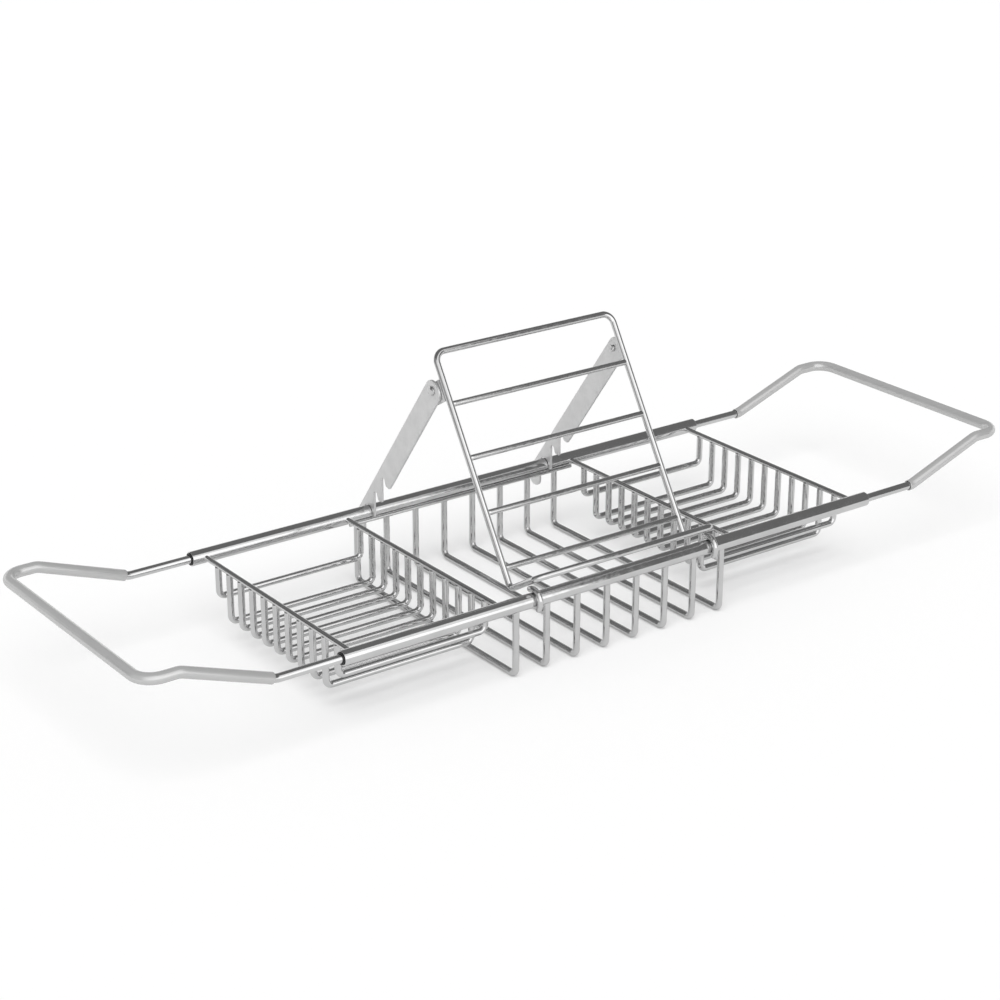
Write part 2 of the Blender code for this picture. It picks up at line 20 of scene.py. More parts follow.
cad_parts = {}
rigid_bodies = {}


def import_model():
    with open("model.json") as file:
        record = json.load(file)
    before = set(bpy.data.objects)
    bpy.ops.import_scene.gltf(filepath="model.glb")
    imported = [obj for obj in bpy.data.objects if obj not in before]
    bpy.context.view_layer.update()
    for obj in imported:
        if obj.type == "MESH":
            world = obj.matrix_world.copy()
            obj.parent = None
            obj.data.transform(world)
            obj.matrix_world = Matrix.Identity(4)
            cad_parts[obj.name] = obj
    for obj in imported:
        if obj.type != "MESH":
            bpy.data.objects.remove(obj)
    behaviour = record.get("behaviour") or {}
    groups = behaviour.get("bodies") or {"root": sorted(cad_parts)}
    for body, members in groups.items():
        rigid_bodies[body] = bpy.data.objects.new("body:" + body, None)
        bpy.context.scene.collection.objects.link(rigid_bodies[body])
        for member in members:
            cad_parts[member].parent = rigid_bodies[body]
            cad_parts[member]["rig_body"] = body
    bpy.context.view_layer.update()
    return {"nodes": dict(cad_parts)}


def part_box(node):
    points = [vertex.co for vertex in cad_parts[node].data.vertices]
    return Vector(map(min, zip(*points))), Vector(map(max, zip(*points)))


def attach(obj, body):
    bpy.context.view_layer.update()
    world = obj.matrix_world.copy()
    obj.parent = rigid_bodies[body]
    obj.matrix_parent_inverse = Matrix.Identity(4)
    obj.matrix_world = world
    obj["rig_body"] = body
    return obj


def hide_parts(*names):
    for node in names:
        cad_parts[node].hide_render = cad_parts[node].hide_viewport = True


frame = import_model()

# %% [markdown]
# The caddy was drawn about a point midway between the two rails, at the height of their
# axes. All lengths below are in metres from that point, so the first thing to find is where
# it lies in the frame. It could be typed in, but reading it off the rails keeps it true.

# %% Find the point between the rails


def node_middle(node):
    """The middle of a CAD node's box."""
    low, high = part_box(node)
    return (low + high) / 2


rails_centre = (node_middle("front_rail") + node_middle("rear_rail")) / 2
print("between the rails:", [round(v, 5) for v in rails_centre])

# %% [markdown]
# ## Camera
#
# The photograph looks down on the caddy from the front left. A camera can be aimed by
# tracking an empty, but here its three directions are known from the angles, so they go
# straight into its matrix as columns: right, up and back. The lens is long, so the far
# handle is only a little smaller than the near one.

# %% Place the camera
CAMERA_AZIMUTH = math.radians(-36.12)
CAMERA_ELEVATION = math.radians(22.04)
CAMERA_DISTANCE = 1.46611
CAMERA_RIGHT = -0.02357
CAMERA_UP = 0.01752
CAMERA_LENS_MM = 84.44
SENSOR_MM = 36

back = Vector((
    math.sin(CAMERA_AZIMUTH) * math.cos(CAMERA_ELEVATION),
    -math.cos(CAMERA_AZIMUTH) * math.cos(CAMERA_ELEVATION),
    math.sin(CAMERA_ELEVATION),
))
right = Vector((math.cos(CAMERA_AZIMUTH), math.sin(CAMERA_AZIMUTH), 0))
up = back.cross(right)
camera_data = bpy.data.cameras.new("photo_camera")
camera_data.lens = CAMERA_LENS_MM
camera_data.sensor_width = SENSOR_MM
camera = bpy.data.objects.new("photo_camera", camera_data)
camera.matrix_world = Matrix((right, up, back)).transposed().to_4x4()
camera.matrix_world.translation = (
    rails_centre + back * CAMERA_DISTANCE + right * CAMERA_RIGHT + up * CAMERA_UP
)
bpy.context.scene.collection.objects.link(camera)
bpy.context.scene.camera = camera
bpy.context.scene.view_settings.view_transform = "Standard"
print("camera at", [round(v, 3) for v in camera.matrix_world.translation])

# %% [markdown]
# ## Material helpers
#
# Every finish here is procedural. A few small helpers keep the node work short: they add a
# node, add noise in object space, which stays fixed to the metal when a piece moves, and
# link that noise to a number, a colour or the surface's slope. Noise rarely leaves the
# middle of its range, so it is mapped from there.

# %% Helpers for nodes
NOISE_LOW = 0.35
NOISE_HIGH = 0.65
NOISE_DETAIL = 3.0
UNSTRETCHED = (1, 1, 1)


def add_node(tree, kind, sockets=(), **settings):
    """A new shader node with its settings and socket values."""
    node = tree.nodes.new(kind)
    for name, value in settings.items():
        setattr(node, name, value)
    for name, value in dict(sockets).items():
        node.inputs[name].default_value = value
    return node


def add_noise(tree, scale, detail=NOISE_DETAIL, stretch=UNSTRETCHED):
    """The factor of noise in object space, stretched along the axes where asked."""
    place = add_node(tree, "ShaderNodeTexCoord")
    mapping = add_node(tree, "ShaderNodeMapping", {"Scale": stretch})
    noise = add_node(tree, "ShaderNodeTexNoise", {"Scale": scale, "Detail": detail})
    tree.links.new(place.outputs["Object"], mapping.inputs["Vector"])
    tree.links.new(mapping.outputs["Vector"], noise.inputs["Vector"])
    return noise.outputs["Fac"]


def spread(tree, factor, low, high, target):
    """Link a factor to a socket, mapped so that it runs from low to high."""
    span = add_node(tree, "ShaderNodeMapRange", {
        "From Min": NOISE_LOW, "From Max": NOISE_HIGH, "To Min": low, "To Max": high,
    })
    tree.links.new(factor, span.inputs["Value"])
    tree.links.new(span.outputs["Result"], target)


def tint(tree, factor, dark, light, target):
    """Link a factor to a colour socket through a ramp between two colours."""
    ramp = add_node(tree, "ShaderNodeValToRGB")
    first, last = ramp.color_ramp.elements
    first.position, last.position = NOISE_LOW, NOISE_HIGH
    first.color, last.color = (*dark, 1), (*light, 1)
    tree.links.new(factor, ramp.inputs["Fac"])
    tree.links.new(ramp.outputs["Color"], target)


def bump(tree, factor, strength, distance, shader):
    """Raise the surface a little by a factor."""
    node = add_node(tree, "ShaderNodeBump", {"Strength": strength, "Distance": distance})
    tree.links.new(factor, node.inputs["Height"])
    tree.links.new(node.outputs["Normal"], shader.inputs["Normal"])


# %% [markdown]
# All four finishes share one recipe on the Principled shader: a colour that clouds a little
# between two shades, a roughness that wanders, and a very shallow grain. They differ in how
# large and how strong each of these is, and in how metallic the surface is. A noise's scale
# is about how many of its blobs fit in a metre.

# %% The recipe of a finish


def make_finish(
    name, *, shades, cloud_scale, metallic, roughness, rough_scale,
    grain_scale, grain_strength, grain_depth,
    rough_detail=NOISE_DETAIL, grain_detail=NOISE_DETAIL, stretch=UNSTRETCHED
):
    """A material with clouded colour, wandering roughness and a fine grain."""
    material = bpy.data.materials.new(name)
    material.use_nodes = True
    tree = material.node_tree
    shader = tree.nodes["Principled BSDF"]
    shader.inputs["Metallic"].default_value = metallic
    tint(tree, add_noise(tree, cloud_scale), *shades, shader.inputs["Base Color"])
    wander = add_noise(tree, rough_scale, rough_detail, stretch)
    spread(tree, wander, *roughness, shader.inputs["Roughness"])
    grain = add_noise(tree, grain_scale, grain_detail, stretch)
    bump(tree, grain, grain_strength, grain_depth, shader)
    print("made", name)
    return material


# %% [markdown]
# ## Chrome
#
# The wires and tubes are steel with bright chrome plate. It reflects about two thirds of
# the light, almost neutrally, and what it shows is the room around it and its neighbours.
# Plate is never a perfect mirror: it has a faint orange peel from the plating tank and lines
# from drawing the wire, so the roughness wanders and a very shallow bump breaks up the
# reflections.

# %% Chrome plate
chrome = make_finish(
    "bright_chrome", shades=((0.655, 0.655, 0.656), (0.710, 0.710, 0.712)), cloud_scale=55.0,
    metallic=1.0, roughness=(0.07, 0.15), rough_scale=320.0,
    grain_scale=650.0, grain_strength=0.10, grain_depth=0.00004, grain_detail=2.0
)

# %% [markdown]
# ## Plated steel
#
# The book rest's arms and lugs are stamped from flat strip and plated dull. Rolling leaves a
# fine grain along the strip. A stretched noise gives that grain in the roughness and bump,
# which catches light softly instead of mirroring the room as the chrome does. Holding the
# metallic value a little under 1 keeps the plates pale where the room is dark.

# %% Dull plated steel
steel = make_finish(
    "dull_steel", shades=((0.78, 0.78, 0.78), (0.83, 0.83, 0.83)), cloud_scale=140.0,
    metallic=0.85, roughness=(0.40, 0.54), rough_scale=260.0, rough_detail=4.0,
    grain_scale=900.0, grain_strength=0.18, grain_depth=0.00005, stretch=(1.0, 9.0, 1.0)
)

# %% [markdown]
# ## Black nylon and grey vinyl
#
# The bushes are moulded nylon with a satin skin. The sleeves are soft vinyl tube, smooth and
# evenly grey. A pearl pigment gives them a silky sheen that follows the bends, which a partly
# metallic shader shows well, and their grain is so fine that it only softens that sheen.

# %% The two plastics
nylon = make_finish(
    "moulded_nylon", shades=((0.012, 0.012, 0.013), (0.030, 0.030, 0.031)), cloud_scale=75.0,
    metallic=0.0, roughness=(0.38, 0.55), rough_scale=210.0,
    grain_scale=1100.0, grain_strength=0.25, grain_depth=0.00006
)
vinyl = make_finish(
    "soft_vinyl", shades=((0.612, 0.612, 0.610), (0.632, 0.632, 0.630)), cloud_scale=75.0,
    metallic=0.45, roughness=(0.25, 0.27), rough_scale=210.0,
    grain_scale=1400.0, grain_strength=0.25, grain_depth=0.000006
)

# %% [markdown]
# ## Studio
#
# Chrome looks like chrome only when it has something light and something dark to show. The
# photograph was lit in the usual way for bright metal: a white table, a big soft light in
# front, and dark cards above, behind and on both sides. None of this is part of the caddy.
# The floor and the cards need no Principled shader, so their materials start bare.

# %% Helpers for the studio


def bare_material(name):
    """A material with only its output, and that output's surface socket."""
    material = bpy.data.materials.new(name)
    material.use_nodes = True
    nodes = material.node_tree.nodes
    nodes.remove(nodes["Principled BSDF"])
    return material, nodes["Material Output"].inputs["Surface"]


def add_card(name, corners, material):
    """A flat card of the studio, which isn't part of the caddy."""
    mesh = bpy.data.meshes.new(name)
    mesh.from_pydata(corners, [], [tuple(range(len(corners)))])
    mesh.materials.append(material)
    card = bpy.data.objects.new(name, mesh)
    bpy.context.scene.collection.objects.link(card)
    return card


# %% [markdown]
# The floor is plain and pale. Seen by the camera it gets a little light of its own so that
# it reads as white, and it still takes the caddy's shadow. The same white could come from a
# stronger lamp, but that would wash out the caddy as well.

# %% The floor
FLOOR_HALF = 4.0
FLOOR_DROP = 0.0001
FLOOR_COLOUR = (0.80, 0.80, 0.80, 1)
FLOOR_GLOW = 0.20

paint, surface = bare_material("floor_paint")
tree = paint.node_tree
matt = add_node(tree, "ShaderNodeBsdfDiffuse", {"Color": FLOOR_COLOUR})
glow = add_node(tree, "ShaderNodeEmission")
amount = add_node(tree, "ShaderNodeMath", operation="MULTIPLY")
amount.inputs[1].default_value = FLOOR_GLOW
both = add_node(tree, "ShaderNodeAddShader")
path = add_node(tree, "ShaderNodeLightPath")
tree.links.new(path.outputs["Is Camera Ray"], amount.inputs[0])
tree.links.new(amount.outputs[0], glow.inputs["Strength"])
tree.links.new(matt.outputs[0], both.inputs[0])
tree.links.new(glow.outputs[0], both.inputs[1])
tree.links.new(both.outputs[0], surface)
floor_corners = [
    (x * FLOOR_HALF, y * FLOOR_HALF, -FLOOR_DROP) for x, y in ((-1, -1), (1, -1), (1, 1), (-1, 1))
]
add_card("floor", floor_corners, paint)
print("floor laid")

# %% [markdown]
# The room is white where it is seen, by the camera, in the metal or through glass. On plain
# surfaces it shines less, so that their own colours come out as they are written. The light
# path tells the two apart.

# %% The white room
WHITE = 1.0
ROOM_LIGHT = 0.60


def seen_directly(tree):
    """A factor that is 1 for rays from the camera, from gloss and through glass."""
    path = add_node(tree, "ShaderNodeLightPath")
    total = path.outputs["Is Camera Ray"]
    for name in ("Is Glossy Ray", "Is Transmission Ray"):
        either = add_node(tree, "ShaderNodeMath", operation="MAXIMUM")
        tree.links.new(total, either.inputs[0])
        tree.links.new(path.outputs[name], either.inputs[1])
        total = either.outputs[0]
    return total


world = bpy.data.worlds.new("white_room")
world.use_nodes = True
bpy.context.scene.world = world
tree = world.node_tree
surround = tree.nodes["Background"]
surround.inputs["Color"].default_value = (WHITE, WHITE, WHITE, 1)
level = add_node(tree, "ShaderNodeMapRange", {"To Min": ROOM_LIGHT, "To Max": WHITE})
tree.links.new(seen_directly(tree), level.inputs["Value"])
tree.links.new(level.outputs["Result"], surround.inputs["Strength"])
print("room lit")

# %% [markdown]
# Each card is a flat sheet with a glow of its own, from dark grey to brighter than white.
# Only reflections see it, so it neither shades the caddy nor hides it. The back and right
# cards stop short of the table: the lower halves of the bars mirror the low parts of the
# room, and these are bright in the photograph. The right card's front edge leans back, and
# the soft light is taller in the middle. Both shapes were chosen for where the bright lines
# on the tubes begin and end.

# %% Cards that the chrome mirrors
DARK_GLOW = 0.175
LEFT_GLOW = 0.41
LEFT_REAR_GLOW = 0.11
SOFTBOX_GLOW = 1.52
CARD_LEFT_X = -3.0
CARD_BACK_Y = 1.5
CARD_BACK_LOW = 0.50
CARD_TOP_Z = 1.7
CARD_TOP_FRONT_Y = -0.8
CARD_SIDE_X = 1.2
RIGHT_FOOT_Y = -1.93
RIGHT_STEP_Y = -0.6
RIGHT_LOW = 0.30
RIGHT_TOP_Y = -1.30
RIGHT_FRONT_CORNER = (-1.80, 0.9)
LEFT_CARD_SPAN = (-0.5, 0.5)
LEFT_CARD_TOP = 1.2
SOFTBOX_Y = -2.2
SOFTBOX_SPAN = (-2.5, 2.5)
SOFTBOX_TOP = 1.35
SOFTBOX_PEAK_SPAN = (-1.0, 1.1)
SOFTBOX_PEAK = 2.0


def glowing(name, strength):
    """An even glow for a card."""
    material, surface = bare_material(name)
    light = add_node(material.node_tree, "ShaderNodeEmission", {"Strength": strength})
    material.node_tree.links.new(light.outputs[0], surface)
    return material


def add_mirrored_card(name, corners, material):
    """A card that only reflections see."""
    card = add_card(name, corners, material)
    card.visible_camera = False
    card.visible_diffuse = False
    card.visible_transmission = False
    card.visible_shadow = False


def rectangle(span, low, high):
    """The corners of a rectangle along a span, from low to high."""
    first, last = span
    return [(first, low), (last, low), (last, high), (first, high)]


dark = glowing("dark_card", DARK_GLOW)
back_span = (CARD_LEFT_X, CARD_SIDE_X)
add_mirrored_card("back_card", [
    (x, CARD_BACK_Y, z) for x, z in rectangle(back_span, CARD_BACK_LOW, CARD_TOP_Z)
], dark)
add_mirrored_card("top_card", [
    (x, y, CARD_TOP_Z) for x, y in rectangle(back_span, CARD_TOP_FRONT_Y, CARD_BACK_Y)
], dark)
add_mirrored_card("right_card", [
    (CARD_SIDE_X, y, z) for y, z in (
        (RIGHT_FOOT_Y, 0), (RIGHT_STEP_Y, 0), (RIGHT_STEP_Y, RIGHT_LOW),
        (CARD_BACK_Y, RIGHT_LOW), (CARD_BACK_Y, CARD_TOP_Z), (RIGHT_TOP_Y, CARD_TOP_Z),
        RIGHT_FRONT_CORNER,
    )
], dark)
add_mirrored_card("left_card", [
    (-CARD_SIDE_X, y, z) for y, z in rectangle(LEFT_CARD_SPAN, 0, LEFT_CARD_TOP)
], glowing("grey_card", LEFT_GLOW))
add_mirrored_card("left_rear_card", [
    (-CARD_SIDE_X, y, z)
    for y, z in rectangle((LEFT_CARD_SPAN[1], CARD_BACK_Y), 0, LEFT_CARD_TOP)
], glowing("darker_card", LEFT_REAR_GLOW))
soft_left, soft_right = SOFTBOX_SPAN
peak_left, peak_right = SOFTBOX_PEAK_SPAN
add_mirrored_card("softbox", [
    (x, SOFTBOX_Y, z) for x, z in (
        (soft_left, 0), (soft_right, 0), (soft_right, SOFTBOX_TOP), (peak_right, SOFTBOX_TOP),
        (peak_right, SOFTBOX_PEAK), (peak_left, SOFTBOX_PEAK), (peak_left, SOFTBOX_TOP),
        (soft_left, SOFTBOX_TOP),
    )
], glowing("softbox_cloth", SOFTBOX_GLOW))
print("cards placed")

# %% [markdown]
# One broad sun from the front left gives the plastics and the plates their light and draws
# the caddy's soft shadow. The metal shouldn't show it as a disc, so gloss doesn't see it.

# %% The sun
SUN_STRENGTH = 1.55
SUN_SPREAD = math.radians(50)
SUN_AIM = Vector((0.35, 0.45, -0.82))

sun_data = bpy.data.lights.new("soft_sun", "SUN")
sun_data.energy = SUN_STRENGTH
sun_data.angle = SUN_SPREAD
sun = bpy.data.objects.new("soft_sun", sun_data)
sun.rotation_mode = "QUATERNION"
sun.rotation_quaternion = SUN_AIM.to_track_quat("-Z", "Y")
sun.visible_glossy = False
bpy.context.scene.collection.objects.link(sun)
print("sun of strength", SUN_STRENGTH)

# %% [markdown]
# ## Bending a wire
#
# A wire bender feeds straight wire and turns it round a mandrel, so every wire is straight
# runs joined by arcs. A curve object with a bevel would do, but its ends are bare discs.
# Points worked out here, and a skin laid over them by hand, also give ends of any shape.
#
# The first helper turns corners, each with its mandrel's radius, into points along the wire.

# %% Corners to points
BEND_STEP = math.radians(9)
LEAST_STEPS = 2


def arc_points(before, corner, after, radius):
    """The points of an arc of this radius that rounds a corner."""
    to_before = (before - corner).normalized()
    to_after = (after - corner).normalized()
    half_angle = to_before.angle(to_after) / 2
    centre = corner + (to_before + to_after).normalized() * (radius / math.sin(half_angle))
    start = corner + to_before * (radius / math.tan(half_angle)) - centre
    sweep = math.pi - 2 * half_angle
    axis = (-to_before).cross(to_after).normalized()
    count = max(LEAST_STEPS, math.ceil(sweep / BEND_STEP))
    return [centre + Matrix.Rotation(sweep * i / count, 3, axis) @ start for i in range(count + 1)]


def bend_wire(corners, closed=False):
    """Straight runs and arcs through corners, each a place with its radius."""
    count = len(corners)
    points = []
    for i, (place, radius) in enumerate(corners):
        if radius and (closed or 0 < i < count - 1):
            points += arc_points(corners[i - 1][0], place, corners[(i + 1) % count][0], radius)
        else:
            points.append(place)
    return points


# %% [markdown]
# The skin needs a ring of points across the wire at each place, and rings that turn
# evenly, or the skin twists. Carrying one ring's direction along to the next, turned only
# as much as the wire turns, keeps it straight. On a closed loop the little turn that is
# left at the end is shared out over all the rings.

# %% Rings across a wire


def ring_directions(points, closed=False):
    """Two directions across the wire at each point, carried along it without twist."""
    count = len(points)
    ways = []
    for i in range(count):
        ahead = points[(i + 1) % count] if closed or i < count - 1 else points[i]
        behind = points[i - 1] if closed or i > 0 else points[i]
        ways.append((ahead - behind).normalized())
    side = ways[0].orthogonal().normalized()
    sides = [side]
    for i in range(1, count + (1 if closed else 0)):
        turn = ways[i - 1].rotation_difference(ways[i % count])
        side = turn @ side
        sides.append(side)
    leftover = 0.0
    if closed:
        last = sides.pop()
        leftover = math.atan2(ways[0].dot(last.cross(sides[0])), last.dot(sides[0]))
    directions = []
    for i, (way, side) in enumerate(zip(ways, sides)):
        side = Matrix.Rotation(leftover * i / count, 3, way) @ side
        directions.append((side, way.cross(side)))
    return directions


def skin_rings(name, rings, sides, closed=False):
    """A closed mesh over rings, each a middle, two directions across and a radius."""
    turns = [2 * math.pi * k / sides for k in range(sides)]
    verts = [
        middle + (first * math.cos(t) + second * math.sin(t)) * radius
        for middle, (first, second), radius in rings
        for t in turns
    ]
    faces = []
    for i in range(len(rings) if closed else len(rings) - 1):
        here, there = i * sides, (i + 1) % len(rings) * sides
        faces += [
            (here + k, here + (k + 1) % sides, there + (k + 1) % sides, there + k)
            for k in range(sides)
        ]
    if not closed:
        faces.append(tuple(reversed(range(sides))))
        faces.append(tuple(range(len(verts) - sides, len(verts))))
    mesh = bpy.data.meshes.new(name)
    mesh.from_pydata(verts, [], faces)
    mesh.shade_smooth()
    return mesh


# %% [markdown]
# Most wire ends here are of two kinds. A cut end is tumbled before plating, so its rim is
# soft. A welded end melts into the bar that it meets, so it keeps its full thickness until
# the other bar hides it. Each kind is a short list: how far from the drawn end, and how
# thick against the wire. A distance below zero reaches into the neighbour. The two ends of
# a piece are alike, so one list serves both.

# %% Worked ends
CUT_END = ((0.0, 0.55), (0.00006, 0.80), (0.0002, 0.93), (0.0005, 1.0))
WELDED_END = ((-0.0010, 0.96), (-0.0008, 1.0), (0.0005, 1.0))
WIRE_SIDES = 20


def work_ends(points, end):
    """The points of a piece with both ends worked, and the share of thickness at each."""
    inward = (points[1] - points[0]).normalized()
    outward = (points[-1] - points[-2]).normalized()
    places = [points[0] + inward * far for far, _ in end]
    places += points[1:-1]
    places += [points[-1] - outward * far for far, _ in reversed(end)]
    shares = [share for _, share in end]
    shares += [1.0] * (len(points) - 2) + shares[::-1]
    return places, shares


def skin_wire(name, points, radius, end=CUT_END, sides=WIRE_SIDES):
    """The skin of a wire along points, with a worked shape at each end."""
    places, shares = work_ends(points, end)
    radii = [radius * share for share in shares]
    return skin_rings(name, list(zip(places, ring_directions(places), radii)), sides)


# %% [markdown]
# Each finished piece stands for one CAD node: it sits where the node sits and rides on the
# same body. After each family of pieces, a report says how far their boxes are from the
# nodes' boxes. The CAD wires are eight-sided, so a round one may stand out by a tenth of a
# millimetre or two, and a welded end reaches one to two and a half millimetres further, into
# the bar that it meets.

# %% Show a piece in its node's place
made = {}
unreported = []


def show(node, mesh, material):
    """Put a mesh in the caddy in place of a CAD node."""
    mesh.transform(Matrix.Translation(rails_centre))
    mesh.materials.append(material)
    piece = bpy.data.objects.new(f"{node}_finished", mesh)
    bpy.context.scene.collection.objects.link(piece)
    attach(piece, frame["nodes"][node]["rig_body"])
    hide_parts(node)
    made[node] = piece
    unreported.append(node)


def report(family):
    """Print how far the newest pieces' boxes lie from their nodes' boxes, at most."""
    worst = 0.0
    for node in unreported:
        low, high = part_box(node)
        corners = [v.co for v in made[node].data.vertices]
        for axis in range(3):
            worst = max(
                worst,
                abs(min(c[axis] for c in corners) - low[axis]),
                abs(max(c[axis] for c in corners) - high[axis]),
            )
    print(f"{family}: {len(unreported)} pieces, boxes within {worst * 1000:.2f} mm")
    unreported.clear()


# %% [markdown]
# ## Rails
#
# Two chromed tubes carry everything. Their mouths are cut square and rolled over slightly,
# so light runs round the rim. A tube could be a cylinder with a Solidify modifier, but a
# turned section gives the rolled lip as well: the section's outline is drawn once and
# spun round the tube's axis.

# %% Turn a section round the X axis
RAIL_Y = 0.085
RAIL_END_X = 0.1995
RAIL_RADIUS = 0.00455
RAIL_BORE = 0.00375
RAIL_LIP = 0.0003
BORE_LIP = 0.00015
RAIL_SIDES = 48
RAILS = (("front", -RAIL_Y), ("rear", RAIL_Y))


def turned_mesh(name, section, place, side=1, sides=RAIL_SIDES, closed=True):
    """A section of (distance along X, radius) spun about X through a place."""
    across = Vector((0, side, 0)), Vector((0, 0, 1))
    rings = [(place + Vector((side * along, 0, 0)), across, radius) for along, radius in section]
    return skin_rings(name, rings, sides, closed)


def rounded_section(corners):
    """A closed section whose corners (distance, radius, rounding) are rounded."""
    places = [(Vector((along, radius, 0)), rounding) for along, radius, rounding in corners]
    return [(p.x, p.y) for p in bend_wire(places, closed=True)]


section = rounded_section([
    (-RAIL_END_X, RAIL_BORE, BORE_LIP), (-RAIL_END_X, RAIL_RADIUS, RAIL_LIP),
    (RAIL_END_X, RAIL_RADIUS, RAIL_LIP), (RAIL_END_X, RAIL_BORE, BORE_LIP),
])
for rail, y in RAILS:
    node = f"{rail}_rail"
    show(node, turned_mesh(node, section, Vector((0, y, 0))), chrome)
report("rails")

# %% [markdown]
# ## Bushes
#
# A black nylon bush is pressed into each mouth. It guides the handle's rod and stops the
# rod's collar from leaving the tube. Only its flange shows, as a thin black ring, so the
# flange gets a soft moulded edge and the rest is a plain sleeve.

# %% Bushes in the rail mouths
BUSH_BORE = 0.0029
BUSH_RADIUS = 0.00345
BUSH_FLANGE_RADIUS = 0.00385
BUSH_LENGTH = 0.012
FLANGE_FROM = 0.0003
FLANGE_TO = 0.0006
FLANGE_EDGE = 0.0002
MOUTH_EDGE = 0.00015
BACK_EDGE = 0.0001
INNER_CORNER = 0.00005
SIDES = (("left", -1), ("right", 1))

section = rounded_section([
    (FLANGE_TO, BUSH_BORE, MOUTH_EDGE), (-BUSH_LENGTH, BUSH_BORE, BACK_EDGE),
    (-BUSH_LENGTH, BUSH_RADIUS, BACK_EDGE), (FLANGE_FROM, BUSH_RADIUS, INNER_CORNER),
    (FLANGE_FROM, BUSH_FLANGE_RADIUS, BACK_EDGE), (FLANGE_TO, BUSH_FLANGE_RADIUS, FLANGE_EDGE),
])
for rail, y in RAILS:
    for side_name, side in SIDES:
        node = f"{rail}_rail_{side_name}_bush"
        place = Vector((side * RAIL_END_X, y, 0))
        show(node, turned_mesh(node, section, place, side), nylon)
report("bushes")

# %% [markdown]
# ## Cross wires
#
# Four wires tie the rails together and bound the side trays. Each is butt welded between
# the tubes, so both of its ends get the welded shape. At each weld the CAD pieces keep a
# small gap, and the welded ends reach across it.

# %% Cross wires between the rails
WELD_GAP = 0.0003
CROSS_RADIUS = 0.00165
INNER_CROSS_X = 0.0890
OUTER_CROSS_X = 0.1905
CROSS_END_Y = RAIL_Y - RAIL_RADIUS - WELD_GAP

for name, x in (
    ("left_outer", -OUTER_CROSS_X), ("left_inner", -INNER_CROSS_X),
    ("right_inner", INNER_CROSS_X), ("right_outer", OUTER_CROSS_X),
):
    node = f"{name}_cross_wire"
    ends = [Vector((x, -CROSS_END_Y, 0)), Vector((x, CROSS_END_Y, 0))]
    show(node, skin_wire(node, ends, CROSS_RADIUS, WELDED_END), chrome)
report("cross wires")

# %% [markdown]
# ## Side trays
#
# Each tray is eleven U-shaped wires welded under the cross wires. The first and last are
# shallower and act as guards, so that a bottle can't slide out under the rails. One bending
# routine makes them all: only the depth differs.

# %% U-shaped tray wires
TRAY_WIRES = 11
TRAY_RADIUS = 0.00205
TRAY_GUARD_Y = 0.06675
TRAY_DEPTH = 0.0322
GUARD_DEPTH = 0.0203
TRAY_BEND = 0.004
TRAY_TOP = -CROSS_RADIUS - WELD_GAP

for side_name, side in SIDES:
    for i in range(TRAY_WIRES):
        guard = {0: "front_guard", TRAY_WIRES - 1: "rear_guard"}.get(i)
        y = TRAY_GUARD_Y * (2 * i / (TRAY_WIRES - 1) - 1)
        floor = -GUARD_DEPTH if guard else -TRAY_DEPTH
        points = bend_wire([
            (Vector((side * INNER_CROSS_X, y, TRAY_TOP)), 0),
            (Vector((side * INNER_CROSS_X, y, floor)), TRAY_BEND),
            (Vector((side * OUTER_CROSS_X, y, floor)), TRAY_BEND),
            (Vector((side * OUTER_CROSS_X, y, TRAY_TOP)), 0),
        ])
        node = f"{side_name}_tray_{guard or f'wire_{i}'}"
        show(node, skin_wire(node, points, TRAY_RADIUS, WELDED_END), chrome)
report("tray wires")

# %% [markdown]
# ## Basket
#
# The deeper basket in the middle takes tall bottles. A thin rim wire is welded along the
# inside of each rail, and eight thicker wires hang from the rails' undersides, each from a
# weld that swells a little. The rails are round underneath, so the wire's end is coped, as
# a fitter would file it: its last ring of points is lifted until it lies just inside the
# tube's surface all round.

# %% Rim wires and basket wires
BASKET_WIRES = 8
BASKET_PITCH = 0.0225
BASKET_RADIUS = 0.00205
BASKET_DEPTH = 0.0456
BASKET_BEND = 0.0042
BASKET_REAR_SET_BACK = 0.0028
RIM_RADIUS = 0.00115
RIM_ANGLE = math.radians(36)
RIM_REACH = RAIL_RADIUS + WELD_GAP + RIM_RADIUS
RIM_Y = RAIL_Y - RIM_REACH * math.cos(RIM_ANGLE)
RIM_Z = -RIM_REACH * math.sin(RIM_ANGLE)
RIM_END = INNER_CROSS_X - CROSS_RADIUS - WELD_GAP
BASKET_TOP = -RAIL_RADIUS - WELD_GAP
RAIL_WELD = ((-0.0001, 1.0), (0.0004, 1.03), (0.0010, 1.02), (0.0016, 1.0))
COPE_DEPTH = 0.0003


def cope(mesh):
    """Lift a basket wire's topmost points until they lie just inside the rails."""
    reach = RAIL_RADIUS - COPE_DEPTH
    for vertex in mesh.vertices:
        if vertex.co.z > BASKET_TOP:
            off_axis = abs(vertex.co.y) - RAIL_Y
            vertex.co.z = -math.sqrt(reach ** 2 - off_axis ** 2)


for name, y in (("front", -RIM_Y), ("rear", RIM_Y)):
    node = f"basket_{name}_rim_wire"
    ends = [Vector((-RIM_END, y, RIM_Z)), Vector((RIM_END, y, RIM_Z))]
    show(node, skin_wire(node, ends, RIM_RADIUS, WELDED_END), chrome)

